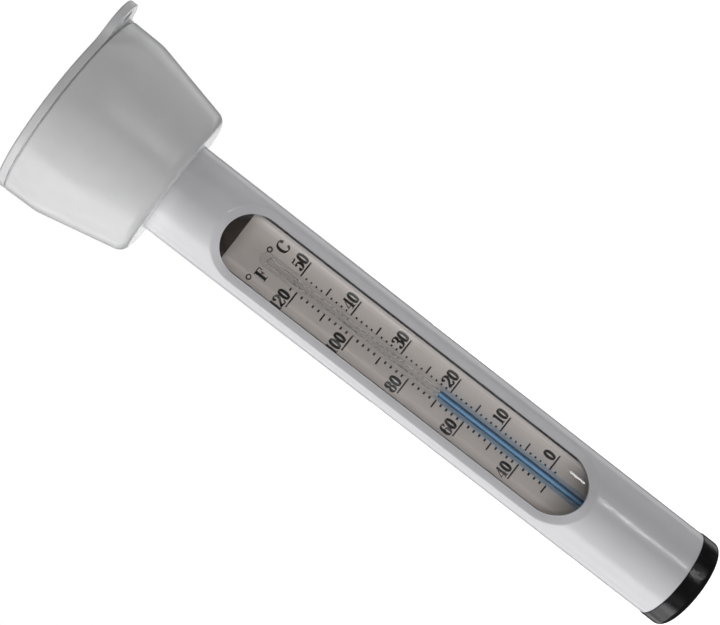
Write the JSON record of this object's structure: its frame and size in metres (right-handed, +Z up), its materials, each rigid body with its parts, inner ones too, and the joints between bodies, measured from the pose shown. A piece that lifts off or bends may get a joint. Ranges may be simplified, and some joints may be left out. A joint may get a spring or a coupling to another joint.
{
  "type": "floating pool thermometer",
  "caption": "Floating water thermometer: conical float head with a tether tab, white casing tube with a long window over a spirit thermometer and scale card, black push-in end cap.",
  "frame": {"origin": "on the casing's axis, at the flat bottom of the end cap", "axes": "+Z up the casing towards the float, -Y out of the window, +X to the right of the scale, on the Celsius side"},
  "size_m": [0.0552, 0.0522, 0.2002],
  "materials": {
    "float_plastic": "satin white moulding",
    "casing_plastic": "satin white moulding",
    "clear_plastic": "clear extruded tube",
    "bung_rubber": "matt black rubber",
    "scale_card": "satin warm grey card, printed",
    "stem_glass": "clear drawn glass",
    "clip_wire": "drawn wire",
    "blue_spirit": "dyed liquid",
    "ballast_steel": "turned steel",
    "seal_rubber": "smooth black rubber",
    "cap_plastic": "glossy black moulding"
  },
  "bodies": {
    "casing": {"float_lid": "float_plastic", "float_shell": "float_plastic", "casing_tube": "casing_plastic", "clear_sleeve": "clear_plastic", "top_bung": "bung_rubber", "bottom_bung": "bung_rubber", "scale_card": "scale_card", "glass_stem": "stem_glass", "stem_clip": "clip_wire", "bulb_spirit": "blue_spirit", "spirit_column": "blue_spirit", "ballast_weight": "ballast_steel"},
    "spirit_top": {"spirit_meniscus": "blue_spirit"},
    "cap": {"cap_seal": "seal_rubber", "end_cap": "cap_plastic"}
  },
  "joints": [
    {"name": "spirit_rise", "type": "slide", "parent": "casing", "child": "spirit_top", "axis": [0, 0, 1], "range_m": [-0.03591, 0.04549], "deforming": ["spirit_column"]},
    {"name": "end_cap_pull", "type": "slide", "parent": "casing", "child": "cap", "axis": [0, 0, -1], "range_m": [0, 0.015]}
  ]
}
